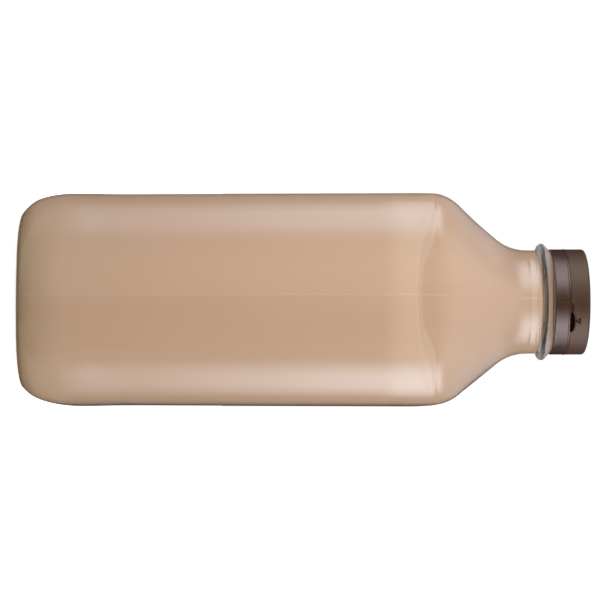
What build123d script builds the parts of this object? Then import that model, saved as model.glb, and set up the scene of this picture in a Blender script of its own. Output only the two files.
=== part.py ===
from build123d import *

import os
from math import cos, pi, radians, sin, tan

# Quart milk bottle of clear glass with a two-stage plastic closure, in millimetres.
# The bottle stands on the XY plane with its axis on +Z. Its body is a square with rounded
# corners and slightly bowed flats, which turns into a round neck over the shoulder.
# A push-on cap seals the lip, and the tear band below it is hooked under a glass bead.

os.makedirs("parts", exist_ok=True)

# Body of the bottle. CORNER_SHARE is the corner radius as a share of the half width,
# and BODY_BOW is half the angle that a slightly curved flat turns through.
BODY_HALF = 42.0
CORNER_SHARE = 0.5
BODY_BOW = 3.0
BODY_TOP = 163.5

# Heel: a quarter ellipse from the standing face up to the flats, around a domed push-up.
# HEEL_ROUNDNESS is how far the foot has gone from the body's square towards a circle.
HEEL_INSET = 13.65
HEEL_HEIGHT = 22.5
HEEL_STEPS = 15
HEEL_ROUNDNESS = 0.3
HEEL_SQUARE_HEIGHT = 10.2
PUSH_UP_DEPTH = 3.0
PUSH_UP_RADIUS = 24.5

# Shoulder: an outward arc, a straight cone and an inward arc that ends on the neck.
# Four arcs of 45 degrees and four straightened corners of none make the neck a circle.
SHOULDER_ANGLE = 39.3
SHOULDER_RADIUS = 17.6
SHOULDER_STEPS = 4
THROAT_RADIUS = 19.5
NECK_BOW = 22.5
NECK_RADIUS = 20.8
NECK_TOP = 206.1

# Glass thickness, and the cavity that it leaves for one US quart up to the filling level.
WALL = 4.0
FLOOR = 5.8
CAVITY_HEEL_INSET = 14.5
CAVITY_HEEL_HEIGHT = 19.0
THROAT_TOP = 205.5
BORE_RADIUS = 14.6
BORE_START = 211.0
MILK_LEVEL = 209.0

# Transfer bead under the closure, with the groove that the neck mould leaves below it.
GROOVE_RADIUS = 18.9
GROOVE_HEIGHT = 0.9
BEAD_CENTRE = 208.9
BEAD_ROUND = 1.75
BEAD_RADIUS = 23.4
BEAD_TOP = 211.6
BEAD_TOP_RADIUS = 20.7

# Finish: the part of the neck that the closure covers, with a locking and a gripping bead.
FINISH_RADIUS = 18.0
FINISH_BEAD_RISE = 1.2
FINISH_BEAD_SLOPE = 0.5
LOCK_BOTTOM = 215.0
LOCK_TOP = 217.6
GRIP_BOTTOM = 219.8
GRIP_TOP = 222.0
LIP_TOP = 223.6
LIP_ROUND = 1.1

# Closure: the cap above the tear line, the band below it and the web that joins them.
SKIRT_RADIUS = 21.1
SKIRT_INNER = 19.85
CAP_TOP = 225.6
CAP_CEILING = 224.4
CAP_ROUND = 1.2
PANEL_RADIUS = 16.5
PANEL_DEPTH = 0.3
CAP_BEAD_RISE = 0.25
CAP_BEAD_HEIGHT = 218.9
LINER_RADIUS = 19.0
LINER_GAP = 0.02
TEAR_BOTTOM = 217.8
TEAR_TOP = 218.05
WEB_OUTER = 20.5
BAND_BOTTOM = 211.9
BAND_EDGE = 0.3
BAND_RIB_RISE = 0.12
BAND_RIB_HEIGHT = 0.6
HOOK_RADIUS = 18.3
HOOK_BOTTOM = 213.2
HOOK_TOP = 214.7

# Pull tab: the stretch of band below the fingernail slot. Angles are about +Z, from +X.
TAB_HINGE_ANGLE = -86.4
TAB_FREE_ANGLE = -50.4
TAB_HINGE_GAP = 0.4
TAB_FREE_GAP = 0.8
SLOT_ANGLE = -64.1
SLOT_HALF = 4.2
SLOT_HEIGHT = 1.0
SLOT_RIM = 0.5
MARK_RISE = 0.2
ARROW_ANGLE = -66.0
ARROW_HEIGHT = 220.6
ARROW_SIZE = 1.3
NUB_HEIGHT = 218.9
NUB_RADIUS = 0.35
CUT_DEPTH = 3.0
RING_REACH = 60.0


def smooth(share):
    """0 to 1 with no slope at either end."""
    return share * share * (3 - 2 * share)


def section(height, half, corner_share, bow_degrees):
    """One level of the bottle: four bowed sides, and four corner arcs tangent to them."""
    bow = radians(bow_degrees)
    corner = half * corner_share
    side = (half - corner * (cos(bow) - sin(bow))) / (1 - cos(bow) + sin(bow))
    diagonal = (side - corner) * sin(bow) + corner * cos(pi / 4)
    reach = half - side + side * cos(bow)
    spread = side * sin(bow)
    side_points = [Vector(reach, -spread), Vector(half, 0), Vector(reach, spread)]
    corner_points = [side_points[2], Vector(diagonal, diagonal), Vector(spread, reach)]
    with BuildSketch(Plane.XY.offset(height)) as level:
        with BuildLine():
            for turn in (0, 90, 180, 270):
                ThreePointArc(*[point.rotate(Axis.Z, turn) for point in side_points])
                ThreePointArc(*[point.rotate(Axis.Z, turn) for point in corner_points])
        make_face()
    return level.sketch


def body_section(height, half, roundness=0):
    """One level of the body. Roundness 0 is the square of the flats, and 1 is a circle."""
    corner_share = CORNER_SHARE + (1 - CORNER_SHARE) * roundness
    return section(height, half, corner_share, BODY_BOW + (NECK_BOW - BODY_BOW) * roundness)


def heel_sections(floor, half, inset, height, roundness=0):
    """Levels up a quarter ellipse, from the floor to where the flats begin."""
    levels = []
    for step in range(HEEL_STEPS + 1):
        turn = pi / 2 * step / HEEL_STEPS
        rise = height * (1 - cos(turn))
        fading = 1 - smooth(min(rise / HEEL_SQUARE_HEIGHT, 1))
        levels.append(body_section(floor + rise, half - inset + inset * sin(turn), roundness * fading))
    return levels


def shoulder_top(body_half, neck_radius):
    """Height at which the shoulder's inward arc reaches the neck."""
    angle = radians(SHOULDER_ANGLE)
    arcs = (SHOULDER_RADIUS + THROAT_RADIUS) * (1 - cos(angle))
    cone = (body_half - neck_radius - arcs) / tan(angle)
    return BODY_TOP + (SHOULDER_RADIUS + THROAT_RADIUS) * sin(angle) + cone


def shoulder_sections(body_half, neck_radius):
    """Levels up the shoulder, which grow round as they rise."""
    top = shoulder_top(body_half, neck_radius)
    turns = [radians(SHOULDER_ANGLE) * step / SHOULDER_STEPS for step in range(SHOULDER_STEPS + 1)]
    lower = [
        (BODY_TOP + SHOULDER_RADIUS * sin(turn), body_half - SHOULDER_RADIUS * (1 - cos(turn)))
        for turn in turns
    ]
    upper = [
        (top - THROAT_RADIUS * sin(turn), neck_radius + THROAT_RADIUS * (1 - cos(turn)))
        for turn in reversed(turns)
    ]
    middle = ((lower[-1][0] + upper[0][0]) / 2, (lower[-1][1] + upper[0][1]) / 2)
    levels = []
    for height, half in [*lower, middle, *upper]:
        levels.append(body_section(height, half, smooth((height - BODY_TOP) / (top - BODY_TOP))))
    return levels


def finish_bead(bottom, top):
    """Outline points, going up, of a bead with sloping sides on the finish."""
    radius = FINISH_RADIUS + FINISH_BEAD_RISE
    return [
        (FINISH_RADIUS, bottom),
        (radius, bottom + FINISH_BEAD_SLOPE),
        (radius, top - FINISH_BEAD_SLOPE),
        (FINISH_RADIUS, top),
    ]


def band_profile(hooked):
    """Half section of the tear band, with or without the hook that locks it on the glass."""
    hook = [
        (SKIRT_INNER, HOOK_TOP),
        (HOOK_RADIUS, HOOK_TOP),
        (HOOK_RADIUS, HOOK_BOTTOM + BAND_EDGE),
        (SKIRT_INNER, HOOK_BOTTOM),
    ]
    with BuildSketch(Plane.XZ) as profile:
        with BuildLine():
            Polyline(
                (SKIRT_INNER, BAND_BOTTOM),
                (SKIRT_RADIUS - BAND_EDGE, BAND_BOTTOM),
                (SKIRT_RADIUS, BAND_BOTTOM + BAND_EDGE),
                (SKIRT_RADIUS, TEAR_BOTTOM - BAND_RIB_HEIGHT - BAND_RIB_RISE),
                (SKIRT_RADIUS + BAND_RIB_RISE, TEAR_BOTTOM - BAND_RIB_HEIGHT),
                (SKIRT_RADIUS + BAND_RIB_RISE, TEAR_BOTTOM - BAND_RIB_RISE),
                (SKIRT_RADIUS, TEAR_BOTTOM),
                (SKIRT_INNER, TEAR_BOTTOM),
                *(hook if hooked else []),
                (SKIRT_INNER, BAND_BOTTOM),
            )
        make_face()
    return profile.sketch


def wedge(start_degrees, end_degrees):
    """Slice of the closure's ring between two angles, as a triangle that reaches past it."""
    start = Vector(RING_REACH, 0).rotate(Axis.Z, start_degrees)
    end = Vector(RING_REACH, 0).rotate(Axis.Z, end_degrees)
    with BuildSketch(Plane.XY.offset(BAND_BOTTOM - 1)) as slice_of_ring:
        with BuildLine():
            Polyline((0, 0), (start.X, start.Y), (end.X, end.Y), (0, 0))
        make_face()
    return slice_of_ring.sketch


def side_plane(angle_degrees, height):
    """Plane that touches the closure's side, facing outwards, with local Y pointing up."""
    outward = Vector(1, 0, 0).rotate(Axis.Z, angle_degrees)
    sideways = Vector(0, 1, 0).rotate(Axis.Z, angle_degrees)
    return Plane(origin=outward * SKIRT_RADIUS + Vector(0, 0, height), x_dir=sideways, z_dir=outward)


def raised_on_skirt(outline):
    """Gives a sketch on a side plane its thickness, following the round of the cap's skirt."""
    with BuildPart() as raised:
        with BuildSketch(Plane.XZ):
            with Locations(((SKIRT_INNER + SKIRT_RADIUS + MARK_RISE) / 2, TEAR_TOP)):
                Rectangle(
                    SKIRT_RADIUS + MARK_RISE - SKIRT_INNER - BAND_EDGE,
                    CAP_CEILING - TEAR_TOP,
                    align=(Align.CENTER, Align.MIN),
                )
        revolve(axis=Axis.Z)
        extrude(outline, amount=CUT_DEPTH, both=True, mode=Mode.INTERSECT)
    return raised.part


# Cavity: the hollow inside the glass, from its floor to above the lip.
cavity_half = BODY_HALF - WALL
cavity_neck = NECK_RADIUS - WALL
cavity_flats = FLOOR + CAVITY_HEEL_HEIGHT
with BuildPart() as cavity:
    loft(heel_sections(FLOOR, cavity_half, CAVITY_HEEL_INSET, CAVITY_HEEL_HEIGHT))
    extrude(body_section(cavity_flats, cavity_half), amount=BODY_TOP - cavity_flats)
    loft(shoulder_sections(cavity_half, cavity_neck))
    with BuildSketch(Plane.XZ):
        with BuildLine():
            Polyline(
                (0, shoulder_top(cavity_half, cavity_neck)),
                (cavity_neck, shoulder_top(cavity_half, cavity_neck)),
                (cavity_neck, THROAT_TOP),
                (BORE_RADIUS, BORE_START),
                (BORE_RADIUS, CAP_TOP),
                (0, CAP_TOP),
                (0, shoulder_top(cavity_half, cavity_neck)),
            )
        make_face()
    revolve(axis=Axis.Z)

# Glass bottle: heel, flats and shoulder, then the turned neck, bead and finish, less the cavity.
neck_start = shoulder_top(BODY_HALF, NECK_RADIUS)
push_up_ball = (PUSH_UP_RADIUS**2 + PUSH_UP_DEPTH**2) / (2 * PUSH_UP_DEPTH)
with BuildPart() as glass_bottle:
    loft(heel_sections(0, BODY_HALF, HEEL_INSET, HEEL_HEIGHT, HEEL_ROUNDNESS))
    extrude(body_section(HEEL_HEIGHT, BODY_HALF), amount=BODY_TOP - HEEL_HEIGHT)
    loft(shoulder_sections(BODY_HALF, NECK_RADIUS))
    with BuildSketch(Plane.XZ):
        with BuildLine():
            Polyline(
                (0, neck_start),
                (NECK_RADIUS, neck_start),
                (NECK_RADIUS, NECK_TOP),
                (GROOVE_RADIUS, NECK_TOP),
                (GROOVE_RADIUS, NECK_TOP + GROOVE_HEIGHT),
                (BEAD_RADIUS - BEAD_ROUND, NECK_TOP + GROOVE_HEIGHT),
            )
            bead_side = BEAD_ROUND * cos(radians(SHOULDER_ANGLE))
            bead_rise = BEAD_ROUND * sin(radians(SHOULDER_ANGLE))
            ThreePointArc(
                (BEAD_RADIUS - BEAD_ROUND, NECK_TOP + GROOVE_HEIGHT),
                (BEAD_RADIUS, BEAD_CENTRE),
                (BEAD_RADIUS - BEAD_ROUND + bead_side, BEAD_CENTRE + bead_rise),
            )
            Polyline(
                (BEAD_RADIUS - BEAD_ROUND + bead_side, BEAD_CENTRE + bead_rise),
                (BEAD_TOP_RADIUS, BEAD_TOP),
                (FINISH_RADIUS, BEAD_TOP),
                *finish_bead(LOCK_BOTTOM, LOCK_TOP),
                *finish_bead(GRIP_BOTTOM, GRIP_TOP),
                (FINISH_RADIUS, LIP_TOP),
                (0, LIP_TOP),
                (0, neck_start),
            )
        make_face()
    revolve(axis=Axis.Z)
    add(cavity.part, mode=Mode.SUBTRACT)
    lip_edges = glass_bottle.faces().sort_by(Axis.Z)[-1].edges()
    fillet(lip_edges, radius=LIP_ROUND)
    with Locations((0, 0, PUSH_UP_DEPTH - push_up_ball)):
        Sphere(push_up_ball, mode=Mode.SUBTRACT)
glass_bottle.part.label = "glass_bottle"
export_step(glass_bottle.part, "parts/glass_bottle.step")

# Chocolate milk: everything in the cavity up to the filling level.
with BuildPart() as chocolate_milk:
    add(cavity.part)
    split(bisect_by=Plane.XY.offset(MILK_LEVEL), keep=Keep.BOTTOM)
chocolate_milk.part.label = "chocolate_milk"
export_step(chocolate_milk.part, "parts/chocolate_milk.step")

# Marks on the cap: a rim over the fingernail slot, an arrow above it and a nub at its far end.
with BuildSketch(side_plane(SLOT_ANGLE, TEAR_TOP)) as rim_outline:
    Ellipse(SLOT_HALF + SLOT_RIM, SLOT_HEIGHT + SLOT_RIM)
with BuildSketch(side_plane(ARROW_ANGLE, ARROW_HEIGHT)) as arrow_outline:
    RegularPolygon(ARROW_SIZE, 3, rotation=-90)
with BuildSketch(side_plane(TAB_HINGE_ANGLE, NUB_HEIGHT)) as nub_outline:
    Circle(NUB_RADIUS)
cap_marks = [raised_on_skirt(m.sketch) for m in (rim_outline, arrow_outline, nub_outline)]

# Cap shell: a cup with a sunk panel on top, an inner bead, the marks and the slot.
with BuildPart() as cap_shell:
    with BuildSketch(Plane.XZ):
        with BuildLine():
            Polyline(
                (0, CAP_CEILING),
                (SKIRT_INNER, CAP_CEILING),
                (SKIRT_INNER, CAP_BEAD_HEIGHT + CAP_BEAD_RISE),
                (SKIRT_INNER - CAP_BEAD_RISE, CAP_BEAD_HEIGHT),
                (SKIRT_INNER, CAP_BEAD_HEIGHT - CAP_BEAD_RISE),
                (SKIRT_INNER, TEAR_TOP),
                (SKIRT_RADIUS, TEAR_TOP),
                (SKIRT_RADIUS, CAP_TOP),
                (PANEL_RADIUS + PANEL_DEPTH, CAP_TOP),
                (PANEL_RADIUS, CAP_TOP - PANEL_DEPTH),
                (0, CAP_TOP - PANEL_DEPTH),
                (0, CAP_CEILING),
            )
        make_face()
    revolve(axis=Axis.Z)
    top_rim = cap_shell.edges().filter_by(GeomType.CIRCLE).group_by(Axis.Z)[-1].sort_by(SortBy.RADIUS)[-1]
    fillet(top_rim, radius=CAP_ROUND)
    add(cap_marks)
    with BuildSketch(side_plane(SLOT_ANGLE, TEAR_TOP)):
        Ellipse(SLOT_HALF, SLOT_HEIGHT)
    extrude(amount=CUT_DEPTH, both=True, mode=Mode.SUBTRACT)
cap_shell.part.label = "cap_shell"
export_step(cap_shell.part, "parts/cap_shell.step")

# Seal liner: a foam disc pressed into the cap, which rests on the lip.
with BuildPart() as seal_liner:
    with BuildSketch(Plane.XY.offset(LIP_TOP + LINER_GAP)):
        Circle(LINER_RADIUS)
    extrude(amount=CAP_CEILING - LIP_TOP - LINER_GAP)
seal_liner.part.label = "seal_liner"
export_step(seal_liner.part, "parts/seal_liner.step")

# Tear band: the hooked ring below the tear line, without the stretch that is the pull tab.
with BuildPart() as tear_band:
    revolve(band_profile(hooked=True), axis=Axis.Z)
    extrude(wedge(TAB_HINGE_ANGLE, TAB_FREE_ANGLE), amount=CAP_TOP - BAND_BOTTOM, mode=Mode.SUBTRACT)
tear_band.part.label = "tear_band"
export_step(tear_band.part, "parts/tear_band.step")

# Pull tab: the same ring between the tab's two ends, with no hook, so that it swings out.
with BuildPart() as pull_tab:
    revolve(band_profile(hooked=False), axis=Axis.Z)
    extrude(
        wedge(TAB_HINGE_ANGLE + TAB_HINGE_GAP, TAB_FREE_ANGLE - TAB_FREE_GAP),
        amount=CAP_TOP - BAND_BOTTOM,
        mode=Mode.INTERSECT,
    )
pull_tab.part.label = "pull_tab"
export_step(pull_tab.part, "parts/pull_tab.step")

# Tear web: the thin skin in the tear line that joins cap and band until it is torn.
with BuildPart() as tear_web:
    with BuildSketch(Plane.XY.offset(TEAR_BOTTOM)):
        Circle(WEB_OUTER)
        Circle(SKIRT_INNER, mode=Mode.SUBTRACT)
    extrude(amount=TEAR_TOP - LINER_GAP - TEAR_BOTTOM)
    extrude(wedge(TAB_HINGE_ANGLE, TAB_FREE_ANGLE), amount=CAP_TOP - BAND_BOTTOM, mode=Mode.SUBTRACT)
tear_web.part.label = "tear_web"
export_step(tear_web.part, "parts/tear_web.step")
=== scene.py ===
import math

import bpy
import numpy as np
from mathutils import Matrix


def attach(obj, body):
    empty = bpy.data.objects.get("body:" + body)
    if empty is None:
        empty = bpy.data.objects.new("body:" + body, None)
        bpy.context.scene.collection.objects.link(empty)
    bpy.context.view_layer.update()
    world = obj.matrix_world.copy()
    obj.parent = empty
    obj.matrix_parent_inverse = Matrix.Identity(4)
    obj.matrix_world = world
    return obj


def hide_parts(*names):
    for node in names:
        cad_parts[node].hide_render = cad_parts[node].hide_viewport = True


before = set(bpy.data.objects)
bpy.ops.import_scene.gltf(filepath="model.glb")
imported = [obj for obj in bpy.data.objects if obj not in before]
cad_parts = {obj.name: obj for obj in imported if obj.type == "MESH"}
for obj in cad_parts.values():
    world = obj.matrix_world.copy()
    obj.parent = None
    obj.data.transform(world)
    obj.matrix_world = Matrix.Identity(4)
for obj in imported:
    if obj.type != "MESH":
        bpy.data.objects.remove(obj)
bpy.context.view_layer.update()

# Quart milk bottle of clear glass, full of chocolate milk, with a brown tamper-evident closure.
# The sections follow the bottle as it is put together: glass, milk, liner, cap, tear band, web
# and pull tab, and then the studio around it. Lengths inside the sections are millimetres,
# which solid() turns into metres.

# ---------------------------------------------------------------------------------------
# Glass bottle
# One blown piece of clear flint glass: heel, square body with rounded corners, shoulder,
# neck, transfer bead, and the turned finish that the closure sits on. It was blown in a
# two-part mould, whose seams run up the middles of the front and the back.
# ---------------------------------------------------------------------------------------
BODY_HALF = 41.97
CORNER_SHARE, BODY_BOW = 0.5, math.radians(3.0)
NECK_SHARE, NECK_BOW = 1.0, math.radians(22.5)
BODY_TOP = 163.5
HEEL_INSET, HEEL_HEIGHT = 13.65, 22.5
HEEL_ROUNDNESS, HEEL_SQUARE_HEIGHT = 0.3, 10.2
PUSH_UP_DEPTH, PUSH_UP_RADIUS = 3.0, 24.5
SHOULDER_ANGLE, SHOULDER_RADIUS, THROAT_RADIUS = math.radians(39.3), 17.6, 19.5
NECK_RADIUS = 20.8
WALL, FLOOR = 4.0, 5.8
CAVITY_HEEL_INSET, CAVITY_HEEL_HEIGHT = 14.5, 19.0
BORE_RADIUS, BORE_START, THROAT_TOP = 14.6, 211.0, 205.5
NECK_TOP, GROOVE_RADIUS, BEAD_BOTTOM = 206.1, 18.9, 207.0
BEAD_RADIUS, BEAD_TOP, BEAD_TOP_RADIUS = 23.4, 211.6, 20.7
FINISH_RADIUS, FINISH_BEAD_RADIUS, LIP_TOP = 18.0, 19.2, 223.6
FINISH_BEADS, FINISH_BEAD_SLOPE = ((215.5, 217.1), (220.3, 221.5)), 0.5
SEAM_RISE, SEAM_WIDTH, SEAM_START = 0.1, 0.35, 4.0
HEEL_BAND_RISE, HEEL_BAND_HEIGHT, HEEL_BAND_SPREAD = 0.2, 26.0, 9.0
WAIST_DEPTH, WAIST_HEIGHT, SHOULDER_BAND_HEIGHT = 0.36, 46.0, 160.0
HOLLOW_START, HOLLOW_REACH = 6.0, 14.0
ROLL_IN, ROLL_START, ROLL_REACH = 0.5, 156.5, 11.0
ROLL_FADE_START, ROLL_FADE_REACH = 168.0, 20.0
FLOOR_ROUNDING_REACH = 3.5


def arcs_around(side_steps, corner_steps, seam_steps=()):
    """Grid columns round a level: 0 to 8, two for each quarter turn, first a side, then a corner.

    seam_steps adds columns on both sides of the seams, at those distances in side lengths.
    """
    side = np.arange(side_steps) / side_steps
    corner = np.arange(corner_steps) / corner_steps
    columns = [np.concatenate([side + 2 * quarter, corner + 2 * quarter + 1]) for quarter in range(4)]
    seams = [middle + side * step for middle in (2.5, 6.5) for side in (-1, 1) for step in seam_steps]
    return np.unique(np.round(np.concatenate([*columns, seams]), 5))


def level(half, corner_share, bow, around):
    """x and y round one or many levels of the bottle.

    Each side is an arc that turns through twice bow, and each corner an arc whose radius is
    corner_share of the half width. Both have the same direction where they meet, so that
    side radius = (half - corner (cos bow - sin bow)) / (1 - cos bow + sin bow).
    """
    arc = np.floor(around)
    share = around - arc
    on_side = arc % 2 == 0
    corner = half * corner_share
    side = (half - corner * (np.cos(bow) - np.sin(bow))) / (1 - np.cos(bow) + np.sin(bow))
    shift = (side - corner) * np.sin(bow)
    turn = np.where(on_side, (2 * share - 1) * bow, bow + share * (math.pi / 2 - 2 * bow))
    radius = np.where(on_side, side, corner)
    x = np.where(on_side, half - side, shift) + radius * np.cos(turn)
    y = np.where(on_side, 0.0, shift) + radius * np.sin(turn)
    quarter = np.floor(arc / 2) * math.pi / 2
    return x * np.cos(quarter) - y * np.sin(quarter), x * np.sin(quarter) + y * np.cos(quarter)


def smooth(share):
    """0 to 1 with no slope at either end."""
    share = np.clip(share, 0.0, 1.0)
    return share * share * (3 - 2 * share)


def rounded(points, radii, steps=6):
    """Carries a profile round its corners: each inner point becomes an arc of its own radius.

    An arc of radius r on a corner that turns by t starts r tan(t / 2) before the point.
    """
    points = np.array(points, float)
    path = [points[:1]]
    for before, corner, after, radius in zip(points, points[1:], points[2:], radii):
        into, out = corner - before, after - corner
        into, out = into / np.linalg.norm(into), out / np.linalg.norm(out)
        turn = math.acos(np.clip(into @ out, -1, 1))
        if radius == 0 or turn < 1e-6:
            path.append(corner[None])
            continue
        sideways = (out - into) / np.linalg.norm(out - into)
        centre = corner + sideways * radius / math.cos(turn / 2)
        lean = np.linspace(-turn / 2, turn / 2, steps)[:, None]
        along = (into + out) / np.linalg.norm(into + out)
        path.append(centre - radius * (sideways * np.cos(lean) - along * np.sin(lean)))
    return np.concatenate([*path, points[-1:]])


def filled_in(path, gap):
    """The same profile with points added so that none are further apart than gap."""
    length = np.concatenate([[0], np.cumsum(np.linalg.norm(np.diff(path, axis=0), axis=1))])
    spots = [np.linspace(a, b, max(2, math.ceil((b - a) / gap) + 1)) for a, b in zip(length, length[1:])]
    spots = np.unique(np.round(np.concatenate(spots), 6))
    return np.stack([np.interp(spots, length, path[:, axis]) for axis in (0, 1)], axis=1)


def heel(floor, half, inset, height, steps):
    """Half width and height up a quarter ellipse that leaves the floor flat and ends upright."""
    turn = np.linspace(0, math.pi / 2, steps)
    return np.stack([half - inset + inset * np.sin(turn), floor + height * (1 - np.cos(turn))], axis=1)


def shoulder_top(half, neck):
    """Height at which the shoulder's inward arc reaches the neck."""
    arcs = (SHOULDER_RADIUS + THROAT_RADIUS) * (1 - math.cos(SHOULDER_ANGLE))
    rise = (SHOULDER_RADIUS + THROAT_RADIUS) * math.sin(SHOULDER_ANGLE)
    return BODY_TOP + rise + (half - neck - arcs) / math.tan(SHOULDER_ANGLE)


def shoulder(half, neck, steps):
    """Half width and height up an outward arc, a straight cone and an inward arc."""
    turn = np.linspace(0, SHOULDER_ANGLE, steps)
    top = shoulder_top(half, neck)
    outward = (half - SHOULDER_RADIUS * (1 - np.cos(turn)), BODY_TOP + SHOULDER_RADIUS * np.sin(turn))
    inward = (neck + THROAT_RADIUS * (1 - np.cos(turn)), top - THROAT_RADIUS * np.sin(turn))
    return np.concatenate([np.stack(outward, axis=1), np.stack(inward, axis=1)[::-1]])


def swollen(path):
    """Makes the body hollow by a few tenths of a millimetre between two contact bands.

    The heel band is a bell-shaped bump, and above the waist the body widens evenly to the
    shoulder's band. Both grow from nothing over a short height above the foot.
    """
    height = path[:, 1]
    heel_band = HEEL_BAND_RISE * np.exp(-(((height - HEEL_BAND_HEIGHT) / HEEL_BAND_SPREAD) ** 2))
    widening = (SHOULDER_BAND_HEIGHT - height) / (SHOULDER_BAND_HEIGHT - WAIST_HEIGHT)
    inset = WAIST_DEPTH * np.clip(widening, 0.0, 1.0) - heel_band
    grown = smooth((height - HOLLOW_START) / HOLLOW_REACH)
    return np.stack([path[:, 0] - inset * grown, height], axis=1)


def rolled_in(x, y, height):
    """Rolls the top of each flat softly towards the shoulder, and leaves the corners upright.

    The pull towards the axis grows over a short height and fades out up the shoulder. Round
    the bottle it follows (1 + cos 4 a) / 2, where a is the direction from the axis.
    """
    fade = 1 - smooth((height - ROLL_FADE_START) / ROLL_FADE_REACH)
    pull = ROLL_IN * smooth((height - ROLL_START) / ROLL_REACH) * fade
    flatness = (1 + np.cos(4 * np.arctan2(y, x))) / 2
    scale = 1 - pull * flatness / np.hypot(x, y)
    return x * scale, y * scale


def shape_round(path, floor_radius, top, foot=0.0):
    """corner_share and bow for each row of a profile.

    The rows are round at the floor's middle, square in the body, and round again from the
    shoulder's top, with a smooth change up the shoulder. foot is how round the lowest level of
    the heel still is.
    """
    radius, height = path[:, 0], path[:, 1]
    up = smooth((height - BODY_TOP) / (top - BODY_TOP))
    heel_share = foot * (1 - smooth((height - height.min()) / HEEL_SQUARE_HEIGHT))
    floor_share = 1 - (1 - foot) * smooth((radius - floor_radius) / FLOOR_ROUNDING_REACH)
    down = np.where(radius < floor_radius + FLOOR_ROUNDING_REACH, floor_share, heel_share)
    share = np.where(height < BODY_TOP / 2, down, up)
    corner_share = CORNER_SHARE + (NECK_SHARE - CORNER_SHARE) * share
    return corner_share[:, None], (BODY_BOW + (NECK_BOW - BODY_BOW) * share)[:, None]


def solid(name, x, y, z, body, poles=True, open_ends=False):
    """Makes a closed mesh from a grid of rows that each go round the axis, and rides it on a body.

    With poles, a fan closes the first and the last row. Without, the last row joins the first,
    which makes a ring. With open_ends the ring is only an arc, and a face closes each end.
    """
    rows, columns = x.shape
    points = np.stack([x, y, np.broadcast_to(z, x.shape)], axis=2).reshape(-1, 3) * 0.001
    row = np.arange(rows - 1 if poles else rows)[:, None]
    column = np.arange(columns - 1 if open_ends else columns)[None, :]
    below, above = row * columns, (row + 1) % rows * columns
    right = (column + 1) % columns
    quads = np.stack([below + column, below + right, above + right, above + column], axis=2)
    faces = [quads.reshape(-1, 4)]
    if poles:
        for edge, order in ((0, -1), (rows - 1, 1)):
            ring = edge * columns + np.arange(columns)
            middle = np.full(columns, len(points))
            faces.append(np.stack([middle, *(ring, np.roll(ring, -1))[::order]], axis=1))
            points = np.concatenate([points, points[ring].mean(axis=0)[None]])
    if open_ends:
        loop = np.arange(rows) * columns
        faces += [loop[None], (loop + columns - 1)[None, ::-1]]
    sizes = np.concatenate([np.full(len(some), some.shape[1]) for some in faces])
    corners = np.concatenate([some.ravel() for some in faces])
    mesh = bpy.data.meshes.new(name)
    mesh.vertices.add(len(points))
    mesh.vertices.foreach_set("co", points.ravel().astype(np.float32))
    mesh.loops.add(len(corners))
    mesh.loops.foreach_set("vertex_index", corners.astype(np.int32))
    mesh.polygons.add(len(sizes))
    mesh.polygons.foreach_set("loop_start", (np.cumsum(sizes) - sizes).astype(np.int32))
    mesh.update(calc_edges=True)
    mesh.polygons.foreach_set("use_smooth", np.ones(len(sizes), bool))
    mesh.set_sharp_from_angle(angle=math.radians(50))
    piece = bpy.data.objects.new(name, mesh)
    bpy.context.scene.collection.objects.link(piece)
    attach(piece, body)
    return piece


# The push-up is a parabola under the floor.
dome_share = np.linspace(0.03, 1, 12)
dome = np.stack([PUSH_UP_RADIUS * dome_share, PUSH_UP_DEPTH * (1 - dome_share**2)], axis=1)
outer_heel = heel(0, BODY_HALF, HEEL_INSET, HEEL_HEIGHT, 30)
blown = filled_in(np.concatenate([outer_heel, shoulder(BODY_HALF, NECK_RADIUS, 20)]), 2.2)

# The neck, the bead and the finish, with two narrow beads under the lip.
turned_points = [
    (NECK_RADIUS, shoulder_top(BODY_HALF, NECK_RADIUS) + 0.1),
    (NECK_RADIUS, NECK_TOP),
    (GROOVE_RADIUS, NECK_TOP + 0.1),
    (GROOVE_RADIUS, BEAD_BOTTOM),
    (BEAD_RADIUS, BEAD_BOTTOM - 0.1),
    (BEAD_RADIUS, BEAD_BOTTOM + 2.1),
    (BEAD_TOP_RADIUS, BEAD_TOP),
    (FINISH_RADIUS, BEAD_TOP + 0.1),
]
turned_radii = [0.5, 0.15, 0.35, 1.6, 0.9, 0.5, 0.6]
for bead_bottom, bead_top in FINISH_BEADS:
    turned_points += [
        (FINISH_RADIUS, bead_bottom - FINISH_BEAD_SLOPE),
        (FINISH_BEAD_RADIUS, bead_bottom),
        (FINISH_BEAD_RADIUS, bead_top),
        (FINISH_RADIUS, bead_top + FINISH_BEAD_SLOPE),
    ]
    turned_radii += [0.5, 0.4, 0.4, 0.5]
turned_points += [(FINISH_RADIUS, LIP_TOP), (BORE_RADIUS, LIP_TOP), (BORE_RADIUS, LIP_TOP - 2)]
turned_radii += [1.1, 1.1]
turned = rounded(turned_points, turned_radii)
outside = np.concatenate([swollen(np.concatenate([dome, blown])), filled_in(turned, 1.2)])

# The inside follows the outside a wall's thickness in, and narrows to the bore over the throat.
INNER_HALF, INNER_NECK = BODY_HALF - WALL, NECK_RADIUS - WALL
inner_heel = heel(FLOOR, INNER_HALF, CAVITY_HEEL_INSET, CAVITY_HEEL_HEIGHT, 24)
throat_points = [
    (INNER_NECK, THROAT_TOP - 2),
    (INNER_NECK, THROAT_TOP),
    (BORE_RADIUS, BORE_START),
    (BORE_RADIUS, LIP_TOP),
]
throat = rounded(throat_points, (6, 6))
floor_middle = np.array([[0.6, FLOOR]])
cavity = np.concatenate([floor_middle, inner_heel, shoulder(INNER_HALF, INNER_NECK, 16), throat])
inside = swollen(filled_in(cavity, 2.5))

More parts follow.
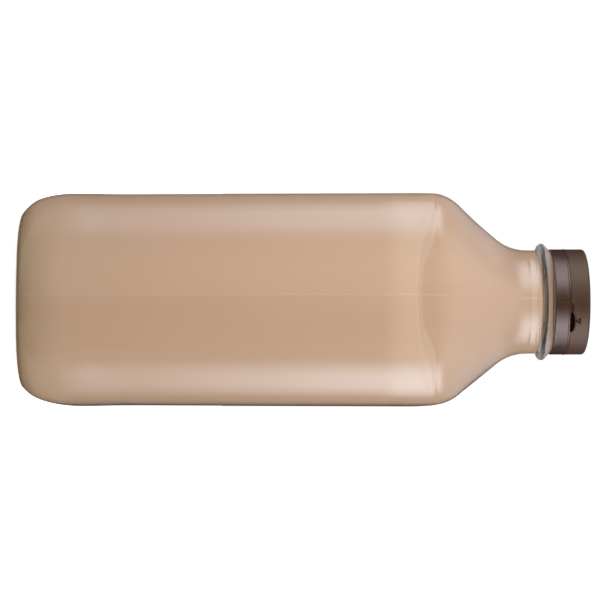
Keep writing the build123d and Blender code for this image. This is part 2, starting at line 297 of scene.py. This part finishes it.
around = arcs_around(side_steps=26, corner_steps=28, seam_steps=(0.004, 0.009, 0.015, 0.023))[None, :]
outer_shape = shape_round(outside, PUSH_UP_RADIUS, shoulder_top(BODY_HALF, NECK_RADIUS), HEEL_ROUNDNESS)
inner_shape = shape_round(inside, 0.0, shoulder_top(INNER_HALF, INNER_NECK))
outer_z = np.repeat(outside[:, 1:], around.size, axis=1)
inner_z = np.repeat(inside[:, 1:], around.size, axis=1)
outer_x, outer_y = rolled_in(*level(outside[:, :1], *outer_shape, around), outer_z)
inner_x, inner_y = rolled_in(*level(inside[:, :1], *inner_shape, around), inner_z)
seamed = smooth((outer_z - SEAM_START) / 6) * (1 - smooth((outer_z - BEAD_TOP) / 0.8))
ridge = SEAM_RISE * (np.exp(-((outer_x / SEAM_WIDTH) ** 2)) - 1) * seamed
seam_pull = 1 + ridge / np.hypot(outer_x, outer_y)
glass_x = np.concatenate([outer_x * seam_pull, inner_x[::-1]])
glass_y = np.concatenate([outer_y * seam_pull, inner_y[::-1]])
glass_z = np.concatenate([outer_z, inner_z[::-1]])
bottle = solid("clear_glass", glass_x, glass_y, glass_z, "bottle")
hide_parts("glass_bottle")


class Signal:
    """One value in the node tree of a material or of the studio. Arithmetic on it adds nodes."""

    def __init__(self, tree, socket=None):
        self.tree, self.socket = tree, socket

    def node(self, kind, settings=None, sockets=None, output=0):
        """Adds a node with its settings, feeds its sockets, and returns one of its outputs."""
        made = self.tree.nodes.new(kind)
        for key, value in (settings or {}).items():
            setattr(made, key, value)
        for key, value in (sockets or {}).items():
            if isinstance(value, Signal):
                self.tree.links.new(value.socket, made.inputs[key])
            else:
                made.inputs[key].default_value = value
        return Signal(self.tree, made.outputs[output]) if made.outputs else None

    def math(self, operation, *values):
        return self.node("ShaderNodeMath", {"operation": operation}, dict(enumerate(values)))

    def __add__(self, other):
        return self.math("ADD", self, other)

    def __sub__(self, other):
        return self.math("SUBTRACT", self, other)

    def __rsub__(self, other):
        return self.math("SUBTRACT", other, self)

    def __mul__(self, other):
        return self.math("MULTIPLY", self, other)

    __radd__, __rmul__ = __add__, __mul__

    def mixed(self, low, high):
        """Blends two colours by this value."""
        return self.node("ShaderNodeMix", {"data_type": "RGBA"}, {0: self, 6: low, 7: high}, output=2)

    def between(self, low, high):
        """0 below low, 1 above high, and smooth between."""
        sockets = {"Value": self, "From Min": low, "From Max": high}
        return self.node("ShaderNodeMapRange", {"interpolation_type": "SMOOTHSTEP"}, sockets)

    def below(self, low, high):
        """1 below low, 0 above high, and smooth between."""
        return 1 - self.between(low, high)

    def within(self, rise, fall):
        """1 between two soft edges. Each edge is a pair: where it starts and where it ends."""
        return self.between(*rise) * self.below(*fall)


def new_finish(name):
    """An empty material, its first signal, its place coordinates and its output node."""
    material = bpy.data.materials.new(name)
    material.use_nodes = True
    tree = material.node_tree
    tree.nodes.clear()
    start = Signal(tree)
    place = start.node("ShaderNodeTexCoord", output=3)
    return material, start, place


def noise(place, scale, detail=3.0, stretch=(1.0, 1.0, 1.0)):
    """Soft cloudy pattern, 0 to 1. scale is in patches per metre."""
    spot = place.node("ShaderNodeMapping", {"vector_type": "POINT"}, {"Vector": place, "Scale": stretch})
    return place.node("ShaderNodeTexNoise", {}, {"Vector": spot, "Scale": scale, "Detail": detail})


def finish_with(material, surface):
    """Sends a shader to the material's output."""
    surface.node("ShaderNodeOutputMaterial", {}, {"Surface": surface})
    return material


# Heights in metres at which the glass changes look: the foot's top edge, a dark line above
# it that is painted shade, the greenish thick heel, and the bead, tinted brown as a painted reflection
# of the closure.
FOOT_EDGE = (0.0030, 0.0034)
DARK_LINE_START, DARK_LINE_END = (0.0031, 0.0037), (0.0039, 0.0056)
GREEN_FADE = (0.004, 0.009)
BEAD_START, BEAD_END = (0.2066, 0.2072), (0.2108, 0.2116)
FLINT, THICK_GREEN = (0.965, 0.985, 0.972, 1.0), (0.80, 0.93, 0.74, 1.0)
BEAD_PAINTED_REFLECTION, DARK_LINE_PAINTED_SHADE = (0.74, 0.67, 0.54, 1.0), (0.42, 0.42, 0.40, 1.0)
FOOT_CLEAR, PANE_CLEAR = (0.985, 0.99, 0.985, 1.0), (0.93, 0.95, 0.94, 1.0)

glass, start, place = new_finish("flint_glass")
up = start.node("ShaderNodeSeparateXYZ", {}, {0: place}, output=2)
ripple = noise(place, 26.0, 1.0, (1.0, 1.0, 0.12))
smear = noise(place, 40.0, 2.0, (1.0, 1.0, 0.3)).between(0.4, 0.8)
waves = {"Strength": 0.3, "Distance": 0.0006, "Height": ripple}
surface_ripple = start.node("ShaderNodeBump", {}, waves)
# Painted shade: a grey line just above the foot's top edge, for the dark edge the thick glass shows
# there.
painted_dark_line = up.within(DARK_LINE_START, DARK_LINE_END)
in_bead = up.within(BEAD_START, BEAD_END)
wall_colour = up.below(*GREEN_FADE).mixed(FLINT, THICK_GREEN)
# Painted reflection: the bead is tinted brown for the brown closure seen in it.
glass_colour = in_bead.mixed(wall_colour, BEAD_PAINTED_REFLECTION)
clear = start.node(
    "ShaderNodeBsdfPrincipled",
    {},
    {
        "Base Color": painted_dark_line.mixed(glass_colour, DARK_LINE_PAINTED_SHADE),
        "Roughness": smear * 0.03 + 0.01,
        "IOR": 1.52,
        "Transmission Weight": 1.0,
        "Normal": surface_ripple,
    },
)
foot = start.node("ShaderNodeBsdfTransparent", {}, {"Color": FOOT_CLEAR})
in_foot = up.below(*FOOT_EDGE) * 0.94
body_or_foot = start.node("ShaderNodeMixShader", {}, {0: in_foot + in_bead * 0.2, 1: clear, 2: foot})
shadow_ray = start.node("ShaderNodeLightPath", output=1)
through = start.node("ShaderNodeBsdfTransparent", {}, {"Color": PANE_CLEAR})
pane = start.node("ShaderNodeMixShader", {}, {0: shadow_ray, 1: body_or_foot, 2: through})
bottle.data.materials.append(finish_with(glass, pane))

# ---------------------------------------------------------------------------------------
# Chocolate milk
# The contents, up to the bead. The liquid wets the glass, so its surface overlaps the wall
# by a hair, which leaves no film of air, and creeps up the wall in a meniscus at the top.
# ---------------------------------------------------------------------------------------
WETTING = 0.05
MILK_LEVEL, MENISCUS, MENISCUS_REACH = 208.2, 0.8, 1.6
MILK_SHADED_BOTTOM, MILK_LIT_TOP = (0.53, 0.34, 0.218, 1.0), (0.655, 0.43, 0.288, 1.0)
MILK_STREAK, MILK_HEEL_SHADE = (0.38, 0.23, 0.14, 1.0), (0.36, 0.23, 0.13, 1.0)

slope = np.gradient(inside, axis=0)
outwards = np.stack([slope[:, 1], -slope[:, 0]], axis=1) / np.hypot(slope[:, :1], slope[:, 1:])
wetted = inside + outwards * WETTING
is_wet = wetted[:, 1] < MILK_LEVEL + MENISCUS - 0.3
in_throat = wetted[-40:]
edge_radius = np.interp(MILK_LEVEL + MENISCUS, in_throat[:, 1], in_throat[:, 0])
inwards = edge_radius * np.array([1.0, 0.985, 0.96, 0.93, 0.89, 0.84, 0.76, 0.6, 0.3, 0.04])
creep = MENISCUS * np.exp(-(edge_radius - inwards) / MENISCUS_REACH)
milk_path = np.concatenate([wetted[is_wet], np.stack([inwards, MILK_LEVEL + creep], axis=1)])
milk_share = np.append(inner_shape[0][is_wet], np.full(len(inwards), NECK_SHARE))[:, None]
milk_bow = np.append(inner_shape[1][is_wet], np.full(len(inwards), NECK_BOW))[:, None]
milk_x, milk_y = rolled_in(*level(milk_path[:, :1], milk_share, milk_bow, around), milk_path[:, 1:])
milk = solid("milk", milk_x, milk_y, milk_path[:, 1:], "bottle")
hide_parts("chocolate_milk")

cocoa, start, place = new_finish("chocolate_milk")
up = start.node("ShaderNodeSeparateXYZ", {}, {0: place}, output=2)
cloud = noise(place, 30.0, 3.0, (1.0, 1.0, 0.1)).between(0.35, 0.65)
# Painted light: the milk's colour grows lighter towards the top, where the studio's light is brighter.
milk_painted_light = up.between(0.0, 0.2).mixed(MILK_SHADED_BOTTOM, MILK_LIT_TOP)
streaked = (cloud * 0.2).mixed(milk_painted_light, MILK_STREAK)
# Painted shade: the milk is darker low in the heel, over its lowest two centimetres.
milk_colour = (up.below(0.002, 0.022) * 0.9).mixed(streaked, MILK_HEEL_SHADE)
liquid = start.node(
    "ShaderNodeBsdfPrincipled",
    {},
    {"Base Color": milk_colour, "Roughness": cloud * 0.1 + 0.3, "Specular IOR Level": 0.05},
)
milk.data.materials.append(finish_with(cocoa, liquid))

# ---------------------------------------------------------------------------------------
# Seal liner
# A disc of white closed-cell foam pressed into the cap. The lip has left a shallow ring in
# its underside.
# ---------------------------------------------------------------------------------------
LINER_RADIUS, LINER_BOTTOM, LINER_TOP = 19.0, LIP_TOP + 0.02, 224.4
LIP_PRINT = 0.12
FOAM_SHADED, FOAM_WHITE = (0.78, 0.77, 0.73, 1.0), (0.86, 0.85, 0.82, 1.0)

liner_path = filled_in(
    rounded(
        [
            (0.5, LINER_BOTTOM),
            (14.4, LINER_BOTTOM),
            (14.9, LINER_BOTTOM + LIP_PRINT),
            (17.5, LINER_BOTTOM + LIP_PRINT),
            (18.0, LINER_BOTTOM),
            (LINER_RADIUS, LINER_BOTTOM),
            (LINER_RADIUS, LINER_TOP),
            (0.5, LINER_TOP),
        ],
        (0.2, 0.2, 0.2, 0.2, 0.15, 0.1),
    ),
    gap=1.5,
)
liner_turns = np.linspace(0, 2 * math.pi, 192, endpoint=False)[None, :]
liner_x, liner_y = liner_path[:, :1] * np.cos(liner_turns), liner_path[:, :1] * np.sin(liner_turns)
liner = solid("foam_liner", liner_x, liner_y, liner_path[:, 1:], "cap")
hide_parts("seal_liner")

foam, start, place = new_finish("liner_foam")
cells = start.node("ShaderNodeTexVoronoi", {}, {"Vector": place, "Scale": 1400.0})
shade = noise(place, 160.0, 3.0)
foam_skin = start.node("ShaderNodeBump", {}, {"Strength": 0.35, "Distance": 0.0002, "Height": cells})
foam_look = start.node(
    "ShaderNodeBsdfPrincipled",
    {},
    {
        "Base Color": shade.mixed(FOAM_SHADED, FOAM_WHITE),
        "Roughness": shade * 0.15 + 0.5,
        "Normal": foam_skin,
    },
)
liner.data.materials.append(finish_with(foam, foam_look))

# ---------------------------------------------------------------------------------------
# Cap shell
# The upper part of the brown polyethylene closure: a matte cup with a sunk top panel. Over
# the pull tab its edge arches into a fingernail slot with a raised rim, a sunk arrow points
# at the slot, and a thin groove leads from the slot to a nub.
# ---------------------------------------------------------------------------------------
SKIRT_RADIUS, SKIRT_INNER = 21.1, 19.85
CAP_TOP, CAP_CEILING, CAP_ROUND, MARKED_TOP = 225.6, 224.4, 1.2, 222.4
PANEL_RADIUS, PANEL_DEPTH = 16.5, 0.3
CAP_BEAD_RISE, CAP_BEAD_HEIGHT = 0.25, 218.9
TEAR_BOTTOM, TEAR_TOP = 217.9, 217.98
TAB_HINGE, TAB_FREE = math.radians(-86.4), math.radians(-50.4)
SLOT_MIDDLE, SLOT_HALF, SLOT_HEIGHT = math.radians(-64.1), 4.2, 1.5
RIM_RISE, RIM_WIDTH = 0.25, 0.38
SLOT_DEPTH_SHARE, SLOT_EDGE = 0.9, 0.15
ARROW_TURN, ARROW_HEIGHT, ARROW_LONG, ARROW_DEPTH = math.radians(-66.0), 220.6, 2.2, 0.4
ARROW_SLOPE, ARROW_EDGE = 0.62, 0.25
NUB_HEIGHT, NUB_SIZE, NUB_RISE = 218.75, 0.38, 0.3
LEAD_DEPTH, LEAD_WIDTH, LEAD_DROP, LEAD_START, LEAD_EDGE = 0.32, 0.24, 0.15, 0.3, 0.4
MATTE_BROWN, MATTE_PALE = (0.035, 0.0095, 0.0028, 1.0), (0.043, 0.0125, 0.0045, 1.0)
MATTE_GLINT, PAINTED_SHADE_BROWN = (1.0, 0.88, 0.68, 1.0), (0.006, 0.0025, 0.0015, 1.0)

marked = np.linspace(TAB_HINGE - 0.06, TAB_FREE + 0.06, 200)
plain = np.linspace(marked[-1], marked[0] + 2 * math.pi, 170)
cap_turns = np.concatenate([marked[:-1], plain[:-1]])[None, :]


def along_skirt(turns, middle):
    """Distance round the skirt from a turn, in millimetres."""
    return (turns - middle + math.pi) % (2 * math.pi) * SKIRT_RADIUS - math.pi * SKIRT_RADIUS


def slot_arch(turns):
    """Height of the slot over the tear line: half an ellipse, and nothing beside it."""
    across = along_skirt(turns, SLOT_MIDDLE) / SLOT_HALF
    return SLOT_HEIGHT * np.sqrt(np.clip(1 - across**2, 0, 1))


def arrow_mask(across, up):
    """1 inside a small triangle that points down at the slot, with soft edges."""
    tip = up + ARROW_LONG / 2
    sides = tip * ARROW_SLOPE - np.abs(across)
    return smooth(sides / ARROW_EDGE + 0.5) * smooth((ARROW_LONG - tip) / ARROW_EDGE + 0.5)


# From the ceiling down the skirt's inside, up its outside and back over the top. The stretch
# with the marks has close rows.
inner_skirt = [
    (0.5, CAP_CEILING),
    (SKIRT_INNER, CAP_CEILING),
    (SKIRT_INNER, CAP_BEAD_HEIGHT + 0.4),
    (SKIRT_INNER - CAP_BEAD_RISE, CAP_BEAD_HEIGHT),
    (SKIRT_INNER, CAP_BEAD_HEIGHT - 0.4),
    (SKIRT_INNER, TEAR_TOP),
    (SKIRT_RADIUS - 0.1, TEAR_TOP),
    (SKIRT_RADIUS, TEAR_TOP + 0.1),
]
marked_skirt = [(SKIRT_RADIUS, TEAR_TOP + 0.18), (SKIRT_RADIUS, MARKED_TOP)]
top_panel = [
    (SKIRT_RADIUS, MARKED_TOP + 0.2),
    (SKIRT_RADIUS, CAP_TOP),
    (PANEL_RADIUS + PANEL_DEPTH, CAP_TOP),
    (PANEL_RADIUS, CAP_TOP - PANEL_DEPTH),
    (0.5, CAP_TOP - PANEL_DEPTH),
]
cap_path = np.concatenate(
    [
        filled_in(rounded(inner_skirt, (0.5, 0.2, 0.2, 0.2, 0.05, 0.05)), gap=1.0),
        filled_in(np.array(marked_skirt), gap=0.09),
        filled_in(rounded(top_panel, (CAP_ROUND, 0.3, 0.3), steps=10), gap=1.2),
    ]
)
cap_z = cap_path[:, 1:]
on_skirt = cap_path[:, :1] > SKIRT_RADIUS - 0.05

# The slot's rim and the nub stand out of the skirt, and the arrow and the lead groove are sunk.
arch = slot_arch(cap_turns)
rim = RIM_RISE * np.exp(-(((cap_z - TEAR_TOP - arch - RIM_WIDTH) / RIM_WIDTH) ** 2)) * smooth(arch / 0.5)
past_nub = along_skirt(cap_turns, TAB_HINGE)
nub = NUB_RISE * np.exp(-((np.hypot(past_nub, cap_z - NUB_HEIGHT) / NUB_SIZE) ** 2))
in_arrow = arrow_mask(along_skirt(cap_turns, ARROW_TURN), cap_z - ARROW_HEIGHT)
lead_end = along_skirt(SLOT_MIDDLE, TAB_HINGE) - SLOT_HALF + LEAD_EDGE
lead_ends = smooth((past_nub - LEAD_START) / LEAD_EDGE) * smooth((lead_end - past_nub) / LEAD_EDGE)
in_lead = np.exp(-(((cap_z - NUB_HEIGHT + LEAD_DROP) / LEAD_WIDTH) ** 2)) * lead_ends
cut = in_lead * LEAD_DEPTH + in_arrow * ARROW_DEPTH
marked_radius = cap_path[:, :1] + on_skirt * (np.maximum(rim, nub) - cut)

# The slot is a deep pocket: under the arch the skirt's outside is pulled in towards its inside.
under_arch = smooth((TEAR_TOP + arch - cap_z) / SLOT_EDGE + 0.5) * smooth(arch / 0.3)
in_slot = under_arch * (cap_path[:, :1] > SKIRT_INNER)
cap_radius = marked_radius - (marked_radius - SKIRT_INNER) * in_slot * SLOT_DEPTH_SHARE
cap = solid("brown_cap", cap_radius * np.cos(cap_turns), cap_radius * np.sin(cap_turns), cap_z, "cap")

# Painted shade: how dark each point is drawn, deep in the slot and in the sunk marks. The last
# two points are the middles of the ceiling and the top panel.
darkness = np.clip(in_slot + (in_lead * 0.8 + in_arrow * 0.6) * on_skirt, 0, 1)
hollow_values = cap.data.attributes.new("hollow", "FLOAT", "POINT")
hollow_values.data.foreach_set("value", np.append(darkness.ravel(), (0, 0)).astype(np.float32))
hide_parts("cap_shell")

matte, start, place = new_finish("matte_brown_polyethylene")
grain = noise(place, 1500.0, 4.0)
mottle = noise(place, 120.0, 3.0).between(0.3, 0.7)
matte_skin = start.node("ShaderNodeBump", {}, {"Strength": 0.5, "Distance": 0.0001, "Height": grain})
matte_look = start.node(
    "ShaderNodeBsdfPrincipled",
    {},
    {
        "Base Color": mottle.mixed(MATTE_BROWN, MATTE_PALE),
        "Roughness": grain * 0.12 + 0.38,
        "Specular IOR Level": 0.4,
        "Specular Tint": MATTE_GLINT,
        "Normal": matte_skin,
    },
)
# Painted shade: a near-black brown mixed in by the hollow attribute, in the slot and the sunk marks.
painted_shade = start.node("ShaderNodeBsdfDiffuse", {}, {"Color": PAINTED_SHADE_BROWN})
hollow = start.node("ShaderNodeAttribute", {"attribute_name": "hollow"}, output=2)
cap_look = start.node("ShaderNodeMixShader", {}, {0: hollow, 1: matte_look, 2: painted_shade})
cap.data.materials.append(finish_with(matte, cap_look))

# ---------------------------------------------------------------------------------------
# Tear band, tear web and pull tab
# The lower part of the closure, moulded in one with it and smoother. A hook inside the band
# is locked under a bead on the glass, and the web is the thin skin that a pull on the tab
# tears. The tab is a stretch of the band without a hook, under the slot.
# ---------------------------------------------------------------------------------------
BAND_BOTTOM, BAND_RIB = 211.9, 0.12
HOOK_RADIUS, HOOK_BOTTOM, HOOK_TOP = 18.3, 213.2, 214.7
HINGE_GAP, FREE_GAP = math.radians(0.12), math.radians(0.15)
SLOT_DIP, DIP_REACH = 0.3, 1.2
SATIN_BROWN, SATIN_PALE = (0.024, 0.0062, 0.0010, 1.0), (0.032, 0.0088, 0.0016, 1.0)
SATIN_GLINT = (1.0, 0.82, 0.76, 1.0)

band_outside = [
    (SKIRT_INNER, BAND_BOTTOM),
    (SKIRT_RADIUS, BAND_BOTTOM),
    (SKIRT_RADIUS, TEAR_BOTTOM - 0.75),
    (SKIRT_RADIUS + BAND_RIB, TEAR_BOTTOM - 0.55),
    (SKIRT_RADIUS + BAND_RIB, TEAR_BOTTOM),
    (SKIRT_INNER, TEAR_BOTTOM),
]
outside_radii = (0.3, 0.3, 0.15, 0.14)
band_hook = [
    (SKIRT_INNER, HOOK_TOP),
    (HOOK_RADIUS, HOOK_TOP),
    (HOOK_RADIUS, HOOK_BOTTOM + 0.3),
    (SKIRT_INNER, HOOK_BOTTOM),
]
hook_radii = (0.1, 0.2, 0.15, 0.15, 0.1)
last_point = (SKIRT_INNER, BAND_BOTTOM + 0.05)
band_ring = rounded([*band_outside, *band_hook, last_point], (*outside_radii, *hook_radii))
tab_ring = rounded([*band_outside, last_point], (*outside_radii, hook_radii[-1]))
band_path, tab_path = filled_in(band_ring, gap=0.5), filled_in(tab_ring, gap=0.5)


def arc_piece(name, path, turns, body, dip=0.0):
    """Carries a closed profile along an arc.

    Its top edge is lowered by dip in the slot's middle, along half an ellipse.
    """
    turns = turns[None, :]
    near_top = smooth((path[:, 1:] - TEAR_BOTTOM + DIP_REACH) / DIP_REACH)
    lowered = dip * slot_arch(turns) / SLOT_HEIGHT * near_top
    x, y = path[:, :1] * np.cos(turns), path[:, :1] * np.sin(turns)
    return solid(name, x, y, path[:, 1:] - lowered, body, poles=False, open_ends=True)


band_turns = np.linspace(TAB_FREE, TAB_HINGE + 2 * math.pi, 260)
band = arc_piece("tear_off_band", band_path, band_turns, "band")
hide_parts("tear_band")
tab_turns = np.linspace(TAB_HINGE + HINGE_GAP, TAB_FREE - FREE_GAP, 90)
tab = arc_piece("pull_tab_strip", tab_path, tab_turns, "tab", dip=SLOT_DIP)
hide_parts("pull_tab")

satin, start, place = new_finish("satin_brown_polyethylene")
grain = noise(place, 900.0, 3.0)
flow = noise(place, 60.0, 3.0, (1.0, 1.0, 3.0)).between(0.3, 0.7)
satin_skin = start.node("ShaderNodeBump", {}, {"Strength": 0.25, "Distance": 0.0001, "Height": grain})
satin_look = start.node(
    "ShaderNodeBsdfPrincipled",
    {},
    {
        "Base Color": flow.mixed(SATIN_BROWN, SATIN_PALE),
        "Roughness": flow * 0.07 + 0.17,
        "Specular IOR Level": 0.55,
        "Specular Tint": SATIN_GLINT,
        "Normal": satin_skin,
    },
)
finish_with(satin, satin_look)
for piece in (band, tab):
    piece.data.materials.append(satin)

# The web keeps the frame's own mesh, in the same plastic.
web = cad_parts["tear_web"]
web.data.materials.clear()
web.data.materials.append(satin)

# ---------------------------------------------------------------------------------------
# Studio
# A white floor in a white tent. A broad soft window glows on each side of the bottle, with
# weaker light from the front and above, and dark cards over the camera and behind the bottle.
# The camera lies on its side.
# ---------------------------------------------------------------------------------------
CAMERA_TURN = math.radians(3.6)
CAMERA_DISTANCE, CAMERA_HEIGHT, CAMERA_ASIDE = 0.7716, 0.112, 0.0008
LENS = 115.4
FLOOR_REACH = 2.0
WHITE, COOL, WARM = (1.0, 1.0, 1.0, 1.0), (0.93, 1.0, 1.1, 1.0), (1.0, 1.03, 0.8, 1.0)
PAPER_SHADED, PAPER_PALE = (0.80, 0.80, 0.80, 1.0), (0.84, 0.84, 0.84, 1.0)

towards = np.array([math.sin(CAMERA_TURN), -math.cos(CAMERA_TURN), 0.0])
rightwards = np.array([math.cos(CAMERA_TURN), math.sin(CAMERA_TURN), 0.0])
camera_data = bpy.data.cameras.new("camera")
camera_data.lens = LENS
camera = bpy.data.objects.new("camera", camera_data)
bpy.context.scene.collection.objects.link(camera)
camera_spot = towards * CAMERA_DISTANCE - rightwards * CAMERA_ASIDE + np.array([0, 0, CAMERA_HEIGHT])
pose = np.eye(4)
pose[:3, :] = np.column_stack([(0, 0, 1), -rightwards, towards, camera_spot])
camera.matrix_world = Matrix(pose)
bpy.context.scene.camera = camera

world = bpy.data.worlds.new("white_studio")
bpy.context.scene.world = world
world.use_nodes = True
world.node_tree.nodes.clear()
start = Signal(world.node_tree)
compass = start.node("ShaderNodeTexCoord", output=0)


def along(direction):
    """How far a ray of the surroundings points along a direction, -1 to 1."""
    sockets = {0: compass, 1: tuple(direction)}
    return start.node("ShaderNodeVectorMath", {"operation": "DOT_PRODUCT"}, sockets, output=1)


# climb is the upward part of a ray's direction, sideways its part to the camera's right, and
# turn its angle round the bottle from the camera, in radians.
climb = along((0, 0, 1))
sideways = along(rightwards)
turn = start.math("ARCTAN2", start.math("ABSOLUTE", sideways), along(towards))

# The side windows brighten upwards, most of all beside the neck, and are narrower at the
# closure's height. Up to the shoulder the right one is the brighter.
beside_cap = climb.within((0.128, 0.14), (0.16, 0.2))
side_window = turn.between(0.15, 1.0) * (turn + beside_cap * 0.42).below(1.22, 2.1)
beside_body = climb.between(-0.18, 0.05) * 3.0 + 1.0 - climb.between(0.056, 0.07) * 0.8
rise = beside_body + climb.between(0.09, 0.11) * 2.8
low_fade = climb.between(-0.32, -0.14) * 0.7 + 0.3
tilt_right = climb.between(-0.1, 0.06) * 0.35 + 0.2 - climb.between(0.08, 0.1) * 0.45
brighter_right = sideways.between(-0.8, 0.8) * tilt_right + 0.8
side_light = side_window * rise * low_fade * brighter_right * climb.below(0.3, 0.72)

# Light from the front: a strip for the upper body, one for the neck, and a dim wall at left.
body_strip = climb.within((0.036, 0.048), (0.07, 0.1)) * turn.below(1.7, 2.2)
neck_strip = climb.within((0.066, 0.08), (0.124, 0.13)) * turn.below(1.6, 2.1)
strips = body_strip * 1.5 + neck_strip * 0.9
left_wall = sideways.below(-0.16, -0.09) * climb.below(0.06, 0.09) * turn.below(1.2, 2.0)

# Two dark cards take away from the tent's even glow: one over the camera, one behind the bottle.
dark_front = climb.between(0.12, 0.132) * turn.below(0.3, 0.6)
dark_behind = turn.between(2.1, 2.6)
dark_card = start.math("MAXIMUM", dark_front, dark_behind) * climb.below(0.2, 0.4) * 0.2
overhead = climb.between(0.2, 0.95) * 0.9
light = side_light + strips + left_wall * 0.35 + overhead + (0.26 - dark_card)

# What is seen directly, or through the glass, is plain white. The light itself is a little
# cool, and the body's strip a little warm near the camera.
seen_directly = start.node("ShaderNodeLightPath")
seen_through = start.node("ShaderNodeLightPath", output=6)
white_ray = start.math("MAXIMUM", seen_directly, seen_through)
strength = white_ray * 1.02 + (1 - white_ray) * light
light_colour = (body_strip * turn.below(0.1, 0.5)).mixed(COOL, WARM)
sky_colour = white_ray.mixed(light_colour, WHITE)
sky = start.node("ShaderNodeBackground", {}, {"Color": sky_colour, "Strength": strength})
start.node("ShaderNodeOutputWorld", {}, {"Surface": sky})

floor_corners = [(FLOOR_REACH * x, FLOOR_REACH * y, 0) for x, y in ((-1, -1), (1, -1), (1, 1), (-1, 1))]
floor_mesh = bpy.data.meshes.new("floor")
floor_mesh.from_pydata(floor_corners, [], [(0, 1, 2, 3)])
floor = bpy.data.objects.new("floor", floor_mesh)
bpy.context.scene.collection.objects.link(floor)
floor.visible_glossy = False
paper, start, place = new_finish("white_paper")
tooth = noise(place, 300.0, 2.0)
seen = start.node("ShaderNodeLightPath")
paper_look = start.node(
    "ShaderNodeBsdfPrincipled",
    {},
    {
        "Base Color": tooth.mixed(PAPER_SHADED, PAPER_PALE),
        "Roughness": 0.9,
        "Specular IOR Level": 0.0,
        "Emission Color": WHITE,
        "Emission Strength": seen * 0.6 + 0.2,
    },
)
floor_mesh.materials.append(finish_with(paper, paper_look))

bpy.context.scene.view_settings.view_transform = "Standard"
bpy.context.scene.cycles.max_bounces = 16
bpy.context.scene.cycles.transmission_bounces = 12
